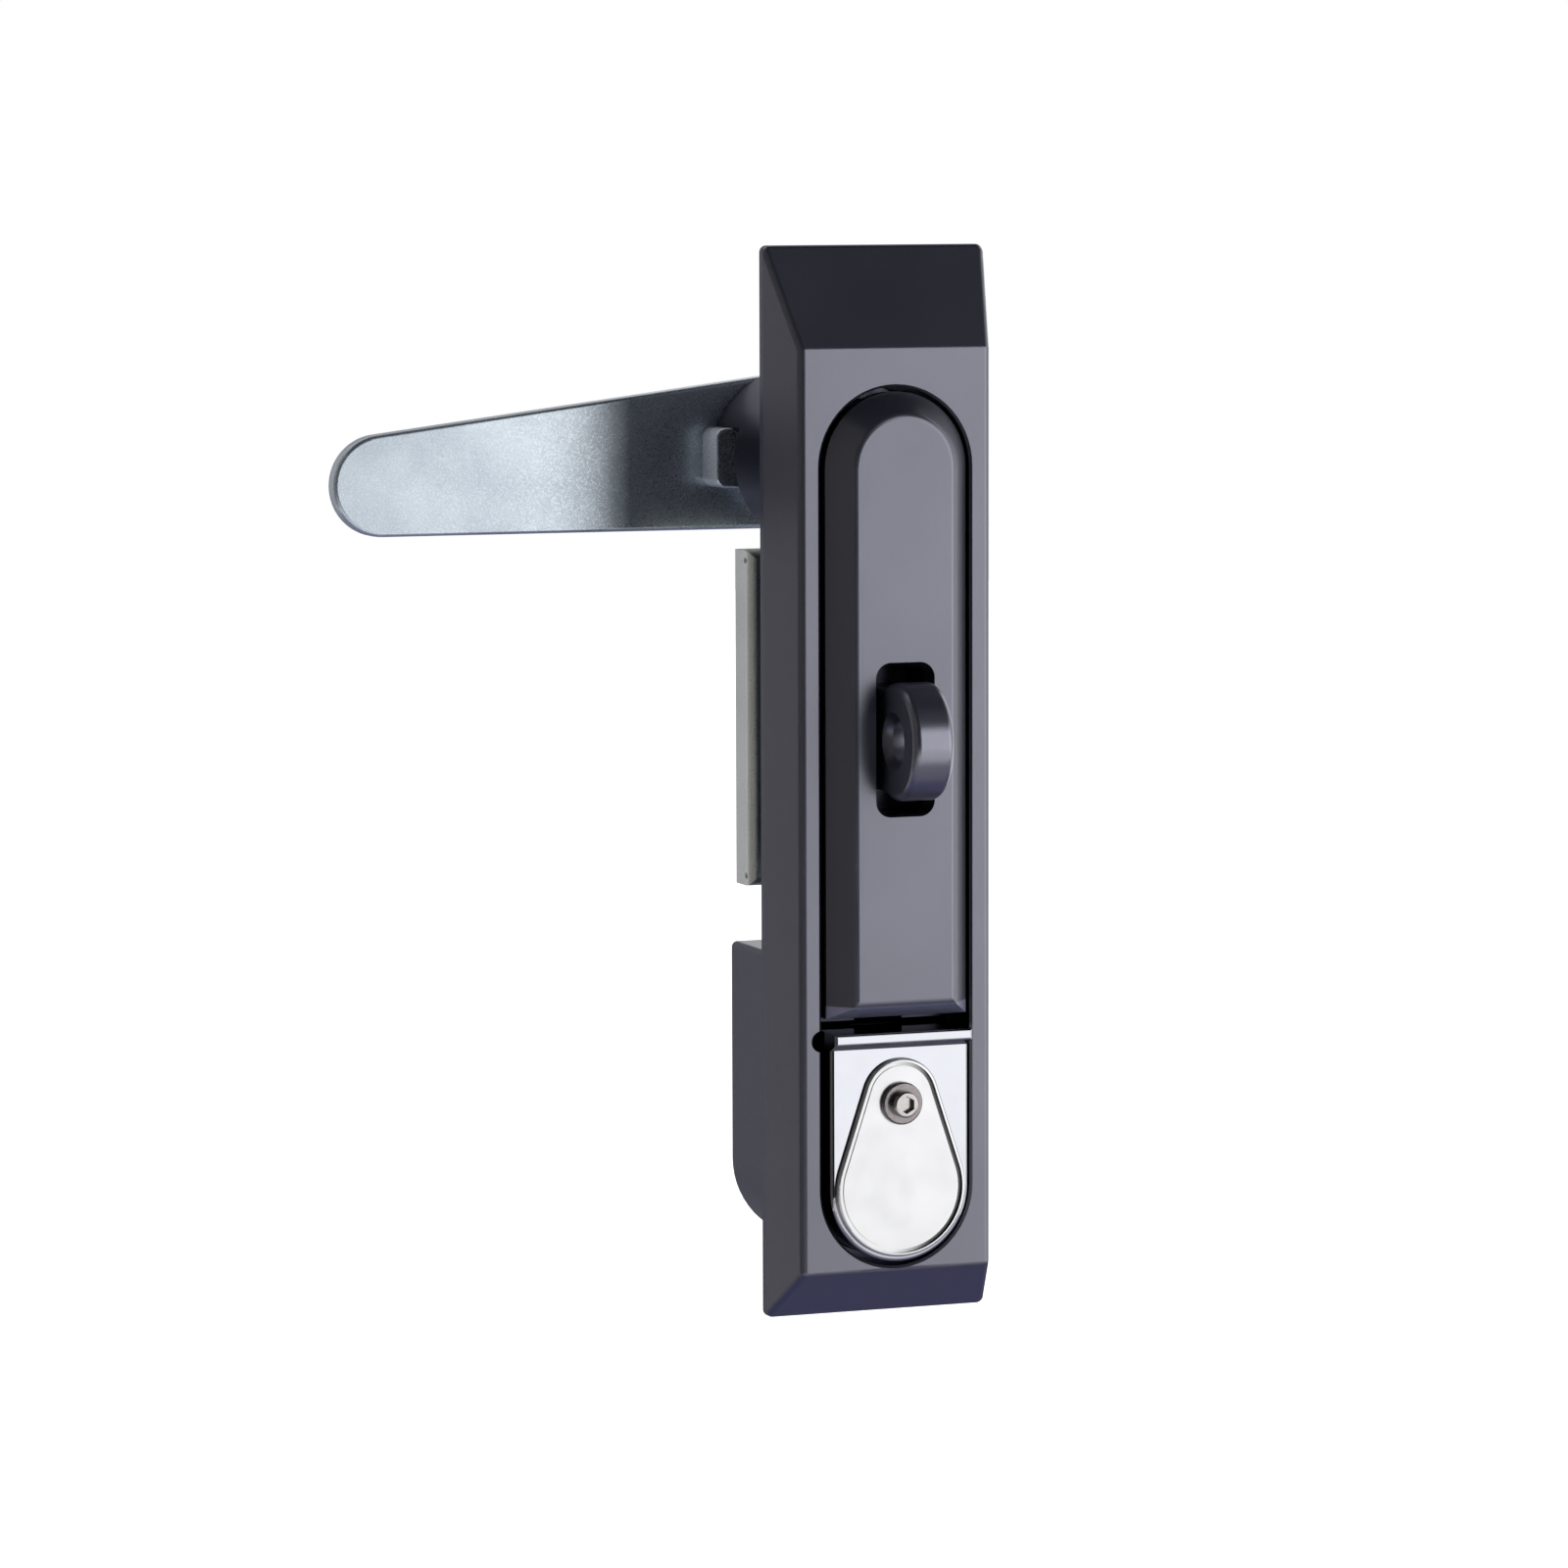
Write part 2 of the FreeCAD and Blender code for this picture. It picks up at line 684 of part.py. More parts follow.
def cam_screw():
    """Hexagon screw that holds the cam on the spindle."""
    seat = cam_back + flat_washer_thickness + lock_washer_thickness
    tip = cam_back - m6_hole_depth + 1
    shank = rod_y(m6_radius, tip, seat)
    head = hexagon_y(m6_head_half, seat, seat + m6_head_height)
    dome = rod_y(m6_head_half * 1.17, seat, seat + m6_head_height)
    dome = rounded(dome, 0.8, lambda b: b.YMin > seat + m6_head_height - 0.01)
    return shank.fuse(head.common(dome)).removeSplitter()


def clamp_bracket():
    """Pressed tray that clamps the lock to the door: a web with four edges bent back."""
    w = bracket_half_width
    sheet = bracket_sheet
    front = bracket_stand_off
    back = front + bracket_flange
    outer = block(-w, w, front, back, bracket_bottom, bracket_top)
    outer = rounded(outer, bracket_bend, lambda b: b.YMax < front + 0.01)
    tray = outer.cut(block(-w + sheet, w - sheet, front + sheet, back + 1,
                           bracket_bottom + sheet, bracket_top - sheet))
    for x in (-w, w):
        for z in (bracket_bottom + bracket_bend, bracket_top - bracket_bend):
            tray = tray.cut(rod_x(bracket_relief, x - bracket_bend, x + bracket_bend,
                                  front + bracket_bend, z))
    for side in (-1, 1):
        z = post_middle + side * post_spread / 2
        tray = tray.cut(rod_y(m4_radius + screw_hole_clearance, front - 1, front + 3, 0, z))
    return tray.removeSplitter()


def bracket_screws():
    """Two screws that pull the clamp bracket home."""
    seat = bracket_stand_off + bracket_sheet
    return Part.makeCompound([
        round_head_screw(m4_radius, floor_y + 1.2, seat, m4_head_radius, m4_head_height,
                         0, post_middle + side * post_spread / 2)
        for side in (-1, 1)
    ])


def button_bar():
    """The bar across the top of the button: flat in front, sloped below."""
    w = button_half_width
    front = button_face - bar_proud
    outline = [V(-w, button_face + 1, button_top), V(-w, front, button_top),
               V(-w, front, button_top - bar_flat), V(-w, button_face, button_top - bar_height),
               V(-w, button_face + 1, button_top - bar_height)]
    bar = Part.Face(Part.makePolygon(outline + outline[:1])).extrude(V(2 * w, 0, 0))
    return rounded(bar, bar_round, lambda b: b.YMax < front + 0.01)


def button():
    """The chrome push button: a shield-shaped plate with a bar across its top and a skirt."""
    w = button_half_width
    centre = recess_bottom_centre
    plate = prism_y(shield_wire(w, button_top, centre, button_face), button_skirt_end)
    plate = rounded(plate, button_edge_round,
                    lambda b: b.YMax < button_face + 0.01 and b.ZMin < button_top - 0.01)
    plate_back = button_face + button_plate
    body = plate.fuse(button_bar())

    # hollow upper part behind the plate; the top wall is short so that the bolt can pass
    inner = w - button_skirt_wall
    hollow_bottom = cylinder_height + cylinder_radius + button_skirt_wall
    hollow = block(-inner, inner, plate_back, button_skirt_end + 1,
                   hollow_bottom, button_top - button_skirt_wall)
    bolt_way = block(-inner, inner, bolt_front - button_stroke - 2, button_skirt_end + 1,
                     hollow_bottom, button_top + 1)
    body = body.cut([hollow, bolt_way])
    boss = rod_y(cover_boss_radius, plate_back - 0.5, plate_back + cover_boss_length, 0, cover_pivot)
    body = body.fuse(boss)
    for side in (-1, 1):
        x = side * guide_spread
        stub = rod_y(guide_post_radius, plate_back - 0.5, plate_back + 3, x, guide_height)
        body = body.fuse(stub.common(block(-inner - 0.5, inner + 0.5, button_face, button_skirt_end,
                                           recess_bottom_centre, button_top)))
        body = body.cut(rod_y(guide_screw_radius, plate_back + 0.5, plate_back + 4, x, guide_height))

    # stepped bore for the lock cylinder, hole for the cover screw
    body = body.cut([
        rod_y(cylinder_nose_radius + pin_clearance, button_face - 1, plate_back + 1, 0,
              cylinder_height),
        rod_y(cylinder_radius + pin_clearance, plate_back, button_skirt_end + 1, 0,
              cylinder_height),
        rod_y(cover_screw_radius, button_face - 1, plate_back + cover_boss_length + 1, 0,
              cover_pivot),
    ])
    return body.removeSplitter()


def button_guide_screws():
    """Two shoulder screws through the case that guide the button and stop it going too far out."""
    screws = []
    for side in (-1, 1):
        x = side * guide_spread
        shank = rod_y(guide_screw_radius, button_face + button_plate + 0.6, case_depth + 0.5,
                      x, guide_height)
        head = rod_y(guide_head_radius, case_depth, case_depth + guide_head_height, x, guide_height)
        head = rounded(head, 0.5, lambda b: b.YMin > case_depth + guide_head_height - 0.01)
        top = case_depth + guide_head_height
        slit = block(x - 3, x + 3, top - 0.7, top + 1, guide_height - 0.35, guide_height + 0.35)
        screws.append(shank.fuse(head).cut(slit).removeSplitter())
    return Part.makeCompound(screws)


def button_springs():
    """Two springs round the guide screws that push the button out."""
    start = button_face + button_plate + 3 + button_spring_wire / 2
    end = guide_post_start - button_spring_wire / 2
    return Part.makeCompound([
        coil(button_spring_radius, button_spring_wire, button_spring_turns,
             V(side * guide_spread, start, guide_height), V(side * guide_spread, end, guide_height))
        for side in (-1, 1)
    ])


def cylinder_body():
    """The fixed body of the key lock."""
    plate_back = button_face + button_plate
    z = cylinder_height
    body = rod_y(cylinder_radius, plate_back, cylinder_end, 0, z)
    body = body.fuse(rod_y(cylinder_nose_radius, plug_front, plate_back + 1, 0, z))
    return body.cut(rod_y(plug_radius + pin_clearance, plug_front - 1, cylinder_end + 1, 0, z))


def cylinder_nut():
    """Ring nut that holds the lock cylinder in the button, with two spanner slots."""
    y0 = button_skirt_end
    y1 = y0 + ring_nut_thickness
    nut = ring_y(ring_nut_radius, cylinder_radius, y0, y1, 0, cylinder_height)
    for side in (-1, 1):
        x = side * ring_nut_radius
        nut = nut.cut(block(x - 1, x + 1, y0 - 1, y1 + 1, cylinder_height - 1, cylinder_height + 1))
    return nut


def key_plug():
    """The round plug that the key turns, with an upright keyway."""
    z = cylinder_height
    plug = rod_y(plug_radius, plug_front, cylinder_end + cover_gap, 0, z)
    plug = plug.makeChamfer(0.3, [e for e in plug.Edges if e.BoundBox.YMax < plug_front + 0.01])
    keyway = block(-keyway_half_width, keyway_half_width, plug_front - 1,
                   plug_front + keyway_depth, z - keyway_half_height, z + keyway_half_height)
    ward = block(0, keyway_half_width * 2, plug_front - 1, plug_front + keyway_depth,
                 z - 1.4, z - 0.4)
    hole = rod_y(tail_screw_radius, cylinder_end - tail_screw_length - screw_hole_end,
                 cylinder_end + 1, 0, z)
    return plug.cut([keyway, ward, hole])


def plug_tail():
    """The plate on the back of the plug with the pin that lifts the catch bolt."""
    z = cylinder_height
    y0 = cylinder_end + cover_gap
    outline = belt_wire((0, z), tail_hub_radius, (catch_travel, z), tail_pin_radius * 2, y0)
    plate = prism_y(outline, tail_back)
    pin = rod_y(tail_pin_radius, tail_back - 0.5, tail_back + tail_pin_reach, catch_travel, z)
    tail = plate.fuse(pin)
    sink = Part.makeCone(tail_screw_radius, tail_screw_head, tail_screw_head - tail_screw_radius,
                         V(0, tail_back - (tail_screw_head - tail_screw_radius), z), V(0, 1, 0))
    return tail.cut([sink, rod_y(tail_screw_radius, y0 - 1, tail_back + 1, 0, z)]).removeSplitter()


def tail_screw():
    """Countersunk screw that holds the tail on the plug."""
    z = cylinder_height
    rise = tail_screw_head - tail_screw_radius
    shank = rod_y(tail_screw_radius, cylinder_end - tail_screw_length, tail_back - rise, 0, z)
    head = Part.makeCone(tail_screw_radius, tail_screw_head, rise, V(0, tail_back - rise, z),
                         V(0, 1, 0))
    slit = block(-3, 3, tail_back - 0.6, tail_back + 1, z - 0.3, z + 0.3)
    return shank.fuse(head).cut(slit).removeSplitter()


def catch_bolt():
    """Bent bolt that the tail pin lifts in front of the strike's toe; shown let down."""
    w = bolt_half_width
    shelf_top = bolt_nose_top - bolt_shelf_drop + bolt_sheet
    shelf_bottom = shelf_top - bolt_sheet
    pin = tail_pin_radius + bolt_slot_clearance
    frame = 1.9
    z = cylinder_height
    slot_low = z - pin
    slot_high = z + pin + bolt_slot_play
    slot_left = -pin
    slot_right = catch_travel + pin
    nose = block(-w, w, bolt_front, bolt_front + bolt_nose_thickness, shelf_bottom, bolt_nose_top)
    shelf = block(-w, w, bolt_front, bolt_plate_back, shelf_bottom, shelf_top)
    stem = block(-w, w, bolt_plate_front, bolt_plate_back, slot_low - frame, shelf_top)
    foot = block(slot_left - frame, slot_right + frame, bolt_plate_front, bolt_plate_back,
                 slot_low - frame, slot_high + frame)
    bolt = nose.fuse([shelf, stem, foot])
    bolt = bolt.cut(block(slot_left, slot_right, bolt_plate_front - 1, bolt_plate_back + 1,
                          slot_low, slot_high)).removeSplitter()
    return rounded(bolt, 0.6, lambda b: b.XLength > w and b.ZMin > bolt_nose_top - 0.01)


def dust_cover():
    """Teardrop cover that swings aside from the key hole: a pad inside a moat and a raised rim."""
    rim_front = cover_back - cover_rim_height
    moat_front = cover_back - cover_floor

    def outline(inset, y):
        return belt_wire((0, cover_top_centre), cover_top_radius - inset,
                         (0, cover_bottom_centre), cover_bottom_radius - inset, y)

    plate = prism_y(outline(0, rim_front), cover_back)
    plate = rounded(plate, cover_rim_round, lambda b: b.YMax < rim_front + 0.01)
    plate = plate.cut(prism_y(outline(cover_rim_width, rim_front - 1), moat_front))
    plate = plate.fuse(prism_y(outline(cover_rim_width + cover_moat_width, cover_front), cover_back))
    hole = rod_y(cover_screw_radius + pin_clearance, rim_front - 1, 0, 0, cover_pivot)
    return plate.cut(hole).removeSplitter()


def cover_washer():
    """Stepped washer between the cover and the head of its screw."""
    front = cover_front - cover_gap - cover_washer_thickness
    washer = ring_y(cover_washer_radius, cover_screw_radius, front, cover_front - cover_gap,
                    0, cover_pivot)
    return rounded(washer, 0.3, lambda b: b.YMax < front + 0.01 and b.XLength > 5)


def cover_screw():
    """Socket screw that the dust cover swings on."""
    seat = cover_front - cover_gap - cover_washer_thickness
    top = seat - cover_head_height
    head = rod_y(cover_head_radius, top, seat, 0, cover_pivot)
    head = rounded(head, 0.35, lambda b: b.YMax < top + 0.01)
    head = head.cut(hexagon_y(cover_socket_half, top - 1, top + cover_socket_depth, 0, cover_pivot))
    tip = button_face + button_plate + cover_boss_length
    return head.fuse(rod_y(cover_screw_radius, seat, tip, 0, cover_pivot)).removeSplitter()


pieces = [
    housing, spindle_head, handle_pin, padlock_eye, eye_screws, clamp_bracket, bracket_screws,
    handle, lift_spring, handle_strike, strike_screw,
    spindle_shaft, spindle_o_ring, stop_washers, cam, cam_flat_washer, cam_lock_washer, cam_screw,
    button, button_guide_screws, button_springs, cylinder_body, cylinder_nut,
    key_plug, plug_tail, tail_screw, catch_bolt,
    dust_cover, cover_washer, cover_screw,
]
for make in pieces:
    shape = make()
    print(make.__name__, len(shape.Solids), round(shape.Volume, 2), shape.isValid())
    shape.exportStep("parts/" + make.__name__ + ".step")
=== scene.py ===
# Cabinet lock: a black flush panel lock with a lift handle, a padlock eye, a chrome push button
# and a zinc-plated cam.
import math

import bpy
from mathutils import Matrix, Vector

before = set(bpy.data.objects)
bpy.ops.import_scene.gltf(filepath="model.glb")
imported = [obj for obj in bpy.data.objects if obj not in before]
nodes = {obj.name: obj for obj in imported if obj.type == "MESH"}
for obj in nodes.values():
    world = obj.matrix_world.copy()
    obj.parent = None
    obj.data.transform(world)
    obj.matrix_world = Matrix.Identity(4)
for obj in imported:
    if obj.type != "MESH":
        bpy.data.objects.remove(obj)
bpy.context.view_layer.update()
scene = bpy.context.scene
print("frame loaded:", len(nodes), "nodes")

# small helpers
colourA, colourB, colourOut = 6, 7, 2  # sockets of a Mix node that mixes colours


def srgb(hexCode, alpha=1.0):
    parts = [int(hexCode[i : i + 2], 16) / 255 for i in (1, 3, 5)]
    return tuple(p / 12.92 if p <= 0.04045 else ((p + 0.055) / 1.055) ** 2.4 for p in parts) + (alpha,)


def addNode(tree, kind, inputs=None, **settings):
    made = tree.nodes.new(kind)
    for name, value in settings.items():
        setattr(made, name, value)
    for name, value in (inputs or {}).items():
        if isinstance(value, bpy.types.NodeSocket):
            tree.links.new(value, made.inputs[name])
        else:
            made.inputs[name].default_value = value
    return made


def newMaterial(name):
    material = bpy.data.materials.new(name)
    material.use_nodes = True
    tree = material.node_tree
    tree.nodes.clear()
    return material, tree


def aimAt(thing, target):
    direction = Vector(target) - thing.location
    thing.rotation_euler = direction.to_track_quat("-Z", "Y").to_euler()


# camera: a long lens a bit left of and above the lock
view = {
    "turn": 20.68,  # degrees to the left of straight on
    "tilt": 5.61,  # degrees down
    "roll": -0.18,
    "distance": 0.9,
    "aim": (0, 0, -0.05),
    "right": -0.01216,  # how far the camera is moved along the picture
    "up": 0.00526,
    "lens": 147.67,  # mm
    "sensor": 36,  # mm
    "near": 0.05,
    "far": 20,
}
turn, tilt, roll = (math.radians(view[k]) for k in ("turn", "tilt", "roll"))
look = Vector((math.sin(turn) * math.cos(tilt), math.cos(turn) * math.cos(tilt), -math.sin(tilt)))
flatRight = Vector((math.cos(turn), -math.sin(turn), 0))
flatUp = flatRight.cross(look)
right = flatRight * math.cos(roll) + flatUp * math.sin(roll)
up = flatUp * math.cos(roll) - flatRight * math.sin(roll)
bpy.ops.object.camera_add()
camera = bpy.context.object
camera.name = "camera"
camera.data.lens = view["lens"]
camera.data.sensor_width = view["sensor"]
camera.data.clip_start = view["near"]
camera.data.clip_end = view["far"]
place = Vector(view["aim"]) - look * view["distance"] + right * view["right"] + up * view["up"]
camera.matrix_world = Matrix.Translation(place) @ Matrix((right, up, -look)).transposed().to_4x4()
scene.camera = camera
scene.view_settings.view_transform = "Standard"
print("camera set")

# studio: a tall softbox at the front right, weaker lamps behind and at the left, and cards round the lock
lamps = {  # place, width and height, watts
    "softboxLamp": ((0.74, -0.93, 0.30), (1.0, 1.35), 6.4),
    "backLamp": ((0.9, 0.7, 0.1), (0.7, 1.4), 2.5),
    "sideLamp": ((-0.9, 0.3, 0.6), (0.8, 0.8), 8.0),
}
lampColour = "#FBFBFF"
for name, (at, size, power) in lamps.items():
    bpy.ops.object.light_add(type="AREA", location=at)
    lamp = bpy.context.object
    lamp.name = name
    lamp.data.shape = "RECTANGLE"
    lamp.data.size, lamp.data.size_y = size
    lamp.data.energy = power
    lamp.data.color = srgb(lampColour)[:3]
    lamp.visible_camera = False
    lamp.visible_glossy = name != "sideLamp"  # the side lamp lights matt surfaces only
    aimAt(lamp, view["aim"])


def seenWhite(tree):  # 1 for what the camera sees, also in metal and through glass, and 0 for the light
    rays = addNode(tree, "ShaderNodeLightPath").outputs
    seen = rays["Is Camera Ray"]
    for kind in ("Is Glossy Ray", "Is Transmission Ray"):
        seen = addNode(tree, "ShaderNodeMath", {0: seen, 1: rays[kind]}, operation="MAXIMUM").outputs[0]
    return seen


room = {
    "fill": 0.45,  # light from the room
    "floorAt": -0.45,
    "floorSize": 12,
    "paper": "#F4F4F4",
}
world = bpy.data.worlds.new("room")
scene.world = world
world.use_nodes = True
tree = world.node_tree
tree.nodes.clear()
strength = addNode(tree, "ShaderNodeMapRange", {"Value": seenWhite(tree), "To Min": room["fill"], "To Max": 1.0})
air = addNode(tree, "ShaderNodeBackground", {"Color": (1, 1, 1, 1), "Strength": strength.outputs[0]})
addNode(tree, "ShaderNodeOutputWorld", {"Surface": air.outputs[0]})

floorPaper, tree = newMaterial("whitePaper")  # matt white paper that stays white to the eye
paper = addNode(tree, "ShaderNodeBsdfDiffuse", {"Color": srgb(room["paper"])})
glow = addNode(tree, "ShaderNodeEmission", {"Color": (1, 1, 1, 1), "Strength": seenWhite(tree)})
both = addNode(tree, "ShaderNodeAddShader", {0: paper.outputs[0], 1: glow.outputs[0]})
addNode(tree, "ShaderNodeOutputMaterial", {"Surface": both.outputs[0]})
bpy.ops.mesh.primitive_plane_add(size=room["floorSize"], location=(0, 0, room["floorAt"]))
floor = bpy.context.object
floor.name = "floor"
floor.data.materials.append(floorPaper)

# place, what it looks at, width and height, colour: the cards keep the white room out of the reflections
cards = {
    "cardLeft": ((-0.7, -0.15, 0.0), (0, -0.15, 0), (1.4, 1.7), "#A09A90"),
    "cardFrontLeft": ((-0.32, -1.3, 0.0), (0, 0, 0), (1.4, 1.7), "#38404A"),
    "cardBackLeft": ((-0.3, 1.05, 0.0), (0, 0, 0), (1.35, 1.7), "#B8B8BC"),
    "cardAbove": ((0.1, -0.3, 0.75), (0, 0, 0), (1.5, 1.5), "#1A1D2E"),
    "cardBelow": ((0.05, 0.1, -0.4), (0.05, 0.1, 0), (1.2, 0.4), "#9494C4"),
    "cardBelowBack": ((0.05, 0.75, -0.4), (0.05, 0.75, 0), (1.2, 0.9), "#A2A2A8"),
    "cardBelowFront": ((0.05, -0.3, -0.4), (0.05, -0.3, 0), (1.2, 0.4), "#E4E4F0"),
}
for name, (at, towards, size, colour) in cards.items():
    cardPaint, tree = newMaterial(name + "Paint")  # matt card
    matt = addNode(tree, "ShaderNodeBsdfDiffuse", {"Color": srgb(colour)})
    addNode(tree, "ShaderNodeOutputMaterial", {"Surface": matt.outputs[0]})
    bpy.ops.mesh.primitive_plane_add(size=1, location=at)
    flag = bpy.context.object
    flag.name = name
    flag.scale = (size[0], size[1], 1)
    aimAt(flag, towards)
    flag.visible_camera = False
    flag.visible_shadow = False
    flag.data.materials.append(cardPaint)
print("studio set")

# finishes
castPaint = {
    "colour": "#2B2C34",
    "bevelLight": "#7C7E96",  # painted light: the bottom bevel of the handle is made lighter, as if lit from below
    "paintedShade": "#303038",  # painted shade in the hollows: dark metal that gives back little light
    "shadeMetal": 0.85,  # metal share of the painted shade
    "ior": 2.2,
    "eyeIor": 2.6,  # the eye has a thicker, glossier coat
    "tint": "#EEEFFF",  # the sheen is a little blue
    "roughness": (0.27, 0.33),
    "patches": 60.0,  # to the metre, where the sheen changes slowly
    "peel": 1.1,  # mm between the waves of the orange peel
    "peelHeight": 0.006,  # mm
    "grain": 0.35,  # mm, drawn coarser than the real grain so that it shows
    "grainHeight": 0.004,  # mm
}
hollows = {  # places that get painted shade: two corners of each place, and how far in from its sides it fades, in mm
    "recess": ((-11.25, -9.2, -111.6), (11.25, -0.1, 11.3), (0.1, 0.1, 0.1)),
    "notch": ((-20.0, 0.6, -16.0), (20.0, 33.0, 7.0), (4.0, 3.0, 4.0)),
    "slot": ((-12.0, -9.3, -90.0), (12.0, 5.0, 20.0), (0.1, 0.5, 0.1)),
}
# where painted light makes the handle's bottom bevel lighter
litBevel = ((-12.0, -13.4, -80.0), (12.0, -8.5, -74.3), (0.1, 0.1, 0.1))
coverGroove = ((-1.0, -11.2, -114.0), (14.0, -10.0, -78.0), (5.0, 0.1, 6.0))
grooveShade = "#4A4A4A"  # painted shade in the groove round the cover's pad


def insideBox(tree, where, place):  # 1 in the place, fading to 0 at its sides
    low, high, fade = (Vector(corner) / 1000 for corner in place)
    offset = addNode(tree, "ShaderNodeVectorMath", {0: where, 1: (low + high) / 2}, operation="SUBTRACT")
    offset = addNode(tree, "ShaderNodeVectorMath", {0: offset.outputs[0]}, operation="ABSOLUTE")
    half = (high - low) / 2
    beyond = addNode(tree, "ShaderNodeVectorMath", {0: offset.outputs[0], 1: half}, operation="SUBTRACT")
    beyond = addNode(tree, "ShaderNodeVectorMath", {0: beyond.outputs[0], 1: fade}, operation="DIVIDE")
    sides = addNode(tree, "ShaderNodeSeparateXYZ", {"Vector": beyond.outputs[0]}).outputs
    most = addNode(tree, "ShaderNodeMath", {0: sides["X"], 1: sides["Y"]}, operation="MAXIMUM")
    most = addNode(tree, "ShaderNodeMath", {0: most.outputs[0], 1: sides["Z"]}, operation="MAXIMUM")
    inside = addNode(tree, "ShaderNodeMapRange", {"Value": most.outputs[0], "From Min": 0.0, "From Max": -1.0})
    return inside.outputs[0]


# satin polyester powder on a zinc casting: dark, with a soft sheen and a faint orange peel, plus painted shade in
# the hollows and, on the handle, painted light on the bottom bevel
def blackPowderCoat(name, ior, shadePlaces):
    material, tree = newMaterial(name)
    where = addNode(tree, "ShaderNodeTexCoord").outputs["Object"]
    paintedShade = insideBox(tree, where, hollows[shadePlaces[0]])
    for place in shadePlaces[1:]:
        other = insideBox(tree, where, hollows[place])
        paintedShade = addNode(tree, "ShaderNodeMath", {0: paintedShade, 1: other}, operation="MAXIMUM").outputs[0]
    coat = srgb(castPaint["colour"])
    # painted light: the handle's bottom bevel gets a lighter colour
    if name == "handleCoat":
        litBevelMix = {"Factor": insideBox(tree, where, litBevel), colourA: coat, colourB: srgb(castPaint["bevelLight"])}
        coat = addNode(tree, "ShaderNodeMix", litBevelMix, data_type="RGBA").outputs[colourOut]
    # painted shade: the hollows get a dark colour and a high metal share, so they give back little light
    shades = {"Factor": paintedShade, colourA: coat, colourB: srgb(castPaint["paintedShade"])}
    colour = addNode(tree, "ShaderNodeMix", shades, data_type="RGBA").outputs[colourOut]
    shadeMetal = addNode(tree, "ShaderNodeMath", {0: paintedShade, 1: castPaint["shadeMetal"]}, operation="MULTIPLY")
    peelScale, grainScale = 1000 / castPaint["peel"], 1000 / castPaint["grain"]
    peel = addNode(tree, "ShaderNodeTexNoise", {"Vector": where, "Scale": peelScale, "Detail": 2.0})
    grain = addNode(tree, "ShaderNodeTexNoise", {"Vector": where, "Scale": grainScale, "Detail": 3.0})
    patches = addNode(tree, "ShaderNodeTexNoise", {"Vector": where, "Scale": castPaint["patches"], "Detail": 3.0})
    low, high = castPaint["roughness"]
    span = {"From Min": 0.2, "From Max": 0.8, "To Min": low, "To Max": high}
    sheen = addNode(tree, "ShaderNodeMapRange", {"Value": patches.outputs[0], **span})
    waves = {"Height": peel.outputs[0], "Distance": castPaint["peelHeight"] / 1000}
    bump = addNode(tree, "ShaderNodeBump", waves)
    grit = {"Height": grain.outputs[0], "Distance": castPaint["grainHeight"] / 1000, "Normal": bump.outputs[0]}
    bump = addNode(tree, "ShaderNodeBump", grit)
    surface = {
        "Base Color": colour,
        "IOR": ior,
        "Metallic": shadeMetal.outputs[0],
        "Specular Tint": srgb(castPaint["tint"]),
        "Roughness": sheen.outputs[0],
        "Normal": bump.outputs[0],
    }
    skin = addNode(tree, "ShaderNodeBsdfPrincipled", surface)
    addNode(tree, "ShaderNodeOutputMaterial", {"Surface": skin.outputs[0]})
    return material


zincPlates = {
    "rolledZinc": {  # rolled steel with clear-passivated zinc: bluish grey, finely speckled, half mirror
        "light": "#D0D9DF",
        "dark": "#B4BEC6",
        "metal": (0.4, 0.85),  # on edges and on flat faces: cut edges are paler and duller
        "roughness": (0.22, 0.36),
        "spangle": 0.3,  # mm, the speckle of rolled and plated steel
        "cloud": 9.0,  # mm
        "grainHeight": 0.0008,  # mm
    },
    "pressedZinc": {  # bent sheet with a paler, smoother zinc
        "light": "#E6EAE4",
        "dark": "#DCE0DA",
        "metal": (0.4, 0.97),
        "roughness": (0.26, 0.32),
        "spangle": 0.3,
        "cloud": 9.0,
        "grainHeight": 0.0003,
    },
}


